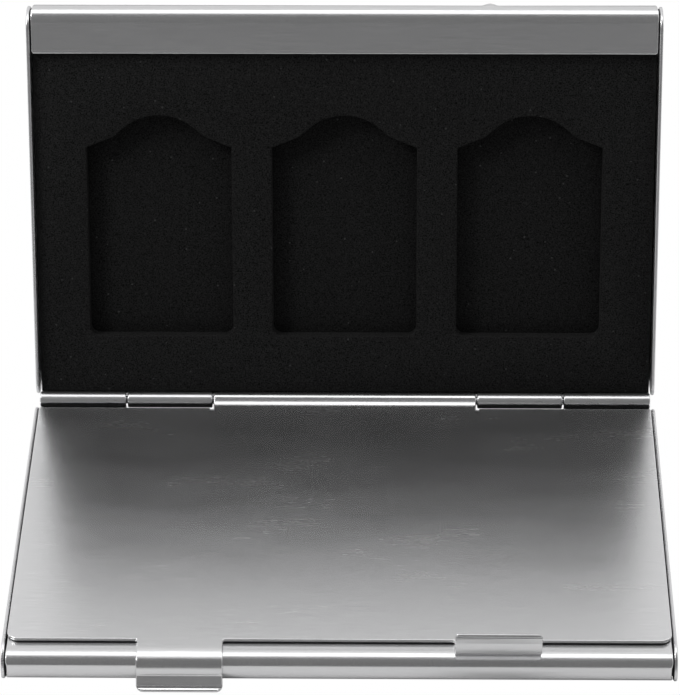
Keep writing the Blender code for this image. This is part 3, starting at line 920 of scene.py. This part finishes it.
def pin_steel(name):
    """Drawn steel wire: faint lines along the pin."""
    material, tree, shader = new_material(name)
    lines = noise(tree, stretched(tree, own_place(tree), WIRE_SCALES), 1.0, WIRE_DETAIL)
    tree.links.new(mixed_colour(tree, lines, *WIRE_TONES), shader["Base Color"])
    tree.links.new(mapped(tree, lines, to_range=WIRE_ROUGHNESS), shader["Roughness"])
    shader["Metallic"].default_value = 1.0
    return material


def adhesive_film(name):
    """The thin tacky film under the foam, with faint fibres."""
    material, tree, shader = new_material(name)
    fibres = noise(tree, own_place(tree), FIBRE_SCALE, FIBRE_DETAIL)
    tree.links.new(mixed_colour(tree, fibres, *FILM_TONES), shader["Base Color"])
    tree.links.new(mapped(tree, fibres, to_range=FILM_ROUGHNESS), shader["Roughness"])
    return material


# Studio


def add_camera():
    """The camera that took the photograph, as fitted."""
    camera = bpy.data.cameras.new("camera")
    camera.sensor_fit = "HORIZONTAL"
    camera.sensor_width = SENSOR_WIDTH
    camera.lens = CAMERA_LENS
    camera.clip_start = CAMERA_CLIP_START
    holder = scene_object("camera", camera)
    holder.location = CAMERA_PLACE
    holder.rotation_euler = CAMERA_TURN
    bpy.context.scene.camera = holder


def add_softbox(name, size, place, radiance):
    """A rectangular soft light at a place, facing down, that the camera doesn't see."""
    light = bpy.data.lights.new(name, "AREA")
    light.shape = "RECTANGLE"
    light.size, light.size_y = size
    light.energy = radiance * math.pi * size[0] * size[1]
    holder = scene_object(name, light)
    holder.location = place
    holder.visible_camera = False
    return holder


def camera_ray(tree):
    """1 where the camera looks straight at a thing, 0 where it is seen in a reflection."""
    return add_node(tree, "ShaderNodeLightPath").outputs["Is Camera Ray"]


def add_room():
    """A room that is light behind and dim in front, and that the camera sees as white."""
    world = bpy.data.worlds.new("room")
    world.use_nodes = True
    tree = world.node_tree
    background = tree.nodes["Background"]
    direction = add_node(tree, "ShaderNodeTexCoord").outputs["Generated"]
    parts = add_node(tree, "ShaderNodeSeparateXYZ", {0: direction})
    level = mapped(
        tree, parts.outputs["Y"], (FRONT_Y, BACK_Y), (FRONT_LEVEL, BACK_LEVEL),
        interpolation_type="SMOOTHSTEP",
    )
    strength = add_node(tree, "ShaderNodeMix", {"Factor": camera_ray(tree), 2: level, 3: 1.0})
    tree.links.new(strength.outputs[0], background.inputs["Strength"])
    background.inputs["Color"].default_value = WHITE
    bpy.context.scene.world = world


def add_floor():
    """A plain pale floor that the camera sees as white."""
    bm = bmesh.new()
    bmesh.ops.create_grid(bm, x_segments=1, y_segments=1, size=FLOOR_SIZE / 2)
    bmesh.ops.translate(bm, vec=(0, FLOOR_FRONT_Y + FLOOR_SIZE / 2, -FLOOR_DROP), verts=bm.verts)
    floor = smooth_piece("floor", bm, SHARP_ANGLE)
    material, tree, shader = new_material("floor_paper")
    shader["Base Color"].default_value = PAPER_COLOUR
    shader["Roughness"].default_value = PAPER_ROUGHNESS
    shader["Specular IOR Level"].default_value = PAPER_SPECULAR
    paper = tree.nodes["Principled BSDF"].outputs[0]
    white = add_node(tree, "ShaderNodeEmission", {"Color": WHITE, "Strength": 1.0}).outputs[0]
    seen = camera_ray(tree)
    mix = add_node(tree, "ShaderNodeMixShader", {0: seen, 1: paper, 2: white})
    tree.links.new(mix.outputs[0], tree.nodes["Material Output"].inputs["Surface"])
    floor.data.materials.append(material)


def add_studio():
    """A softbox overhead, a small lamp at the left that faces the case, the room and the floor."""
    add_softbox("softbox", SOFTBOX_SIZE, SOFTBOX_PLACE, SOFTBOX_RADIANCE)
    key = add_softbox("left_softbox", KEY_SIZE, KEY_PLACE, KEY_RADIANCE)
    key.rotation_euler = (-Vector(KEY_PLACE)).to_track_quat("-Z", "Y").to_euler()
    add_room()
    add_floor()
    bpy.context.scene.view_settings.view_transform = "Standard"


# Whole case


def finish(piece, body, node):
    """Puts a piece on its body, in place of its CAD node."""
    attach(piece, body)
    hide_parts(node)


def make_case():
    """Each leaf with its foam, then the plate and the pin between them."""
    groups = {
        "brushing": brushing_group(),
        "burnished": burnished_group(),
        "edge_wear": edge_wear_group(),
        "foam_cells": foam_cells_group(),
    }
    plate_bends = (PLATE_REAR_D, FRONT_D - TONGUE_SETBACK["right"])
    tray_metal = brushed_aluminium("tray_aluminium", groups, (REAR_BEND_D, ROLL_D), **TRAY_FINISH)
    plate_metal = brushed_aluminium("plate_aluminium", groups, plate_bends, **PLATE_FINISH)
    foam = black_foam("black_foam", groups, *FOAM_GREYS)
    # The pocket floors get the darker foam: painted shade for the recessed pocket bottoms
    shaded_floor_foam = black_foam("pocket_floor_shaded_foam", groups, *SHADED_FLOOR_FOAM_GREYS)
    steel = pin_steel("pin_steel")
    film = adhesive_film("adhesive_film")

    inner, middle = INNER_KNUCKLE_END, MIDDLE_KNUCKLE_END
    leaves = {
        "lower": (leaf_place(0), [(inner + HALF_GAP, LEAF_HALF_WIDTH - SLIT_SETBACK)]),
        "upper": (leaf_place(UPPER_OPENING, True), [(middle + HALF_GAP, inner - HALF_GAP)]),
    }
    die_cut = die_cut_tree()
    pocket = outline_object("pocket", pocket_outline())
    base_low = SHEET - HALF_THICKNESS + LAYER_GAP + ADHESIVE + LAYER_GAP
    pocket_low = base_low + FOAM_BASE + LAYER_GAP
    for side, (place, knuckles) in leaves.items():
        body = f"{side}_tray"
        tray = make_tray(f"{side}_tray_sheet", place, knuckles)
        tray.data.materials.append(tray_metal)
        finish(tray, body, body)
        base = make_foam(
            f"{side}_pocket_floor", place, die_cut, pocket, 0,
            base_low, FOAM_BASE, BASE_EDGE_RADIUS, shaded_floor_foam,
        )
        finish(base, body, f"{side}_foam_base")
        sheet = make_foam(
            f"{side}_die_cut_foam", place, die_cut, pocket, POCKET_COUNT,
            pocket_low, POCKET_FOAM, FOAM_EDGE_RADIUS, foam,
        )
        finish(sheet, body, f"{side}_pocket_foam")
        adhesive = frame["nodes"][f"{side}_adhesive_sheet"]
        adhesive.data.materials.clear()
        adhesive.data.materials.append(film)
    bpy.data.objects.remove(pocket)
    plate = make_middle_plate(leaf_place(0))
    plate.data.materials.append(plate_metal)
    finish(plate, "middle_plate", "middle_plate")
    pin = make_hinge_pin(leaf_place(0))
    pin.data.materials.append(steel)
    finish(pin, "lower_tray", "hinge_pin")


add_camera()
add_studio()
make_case()
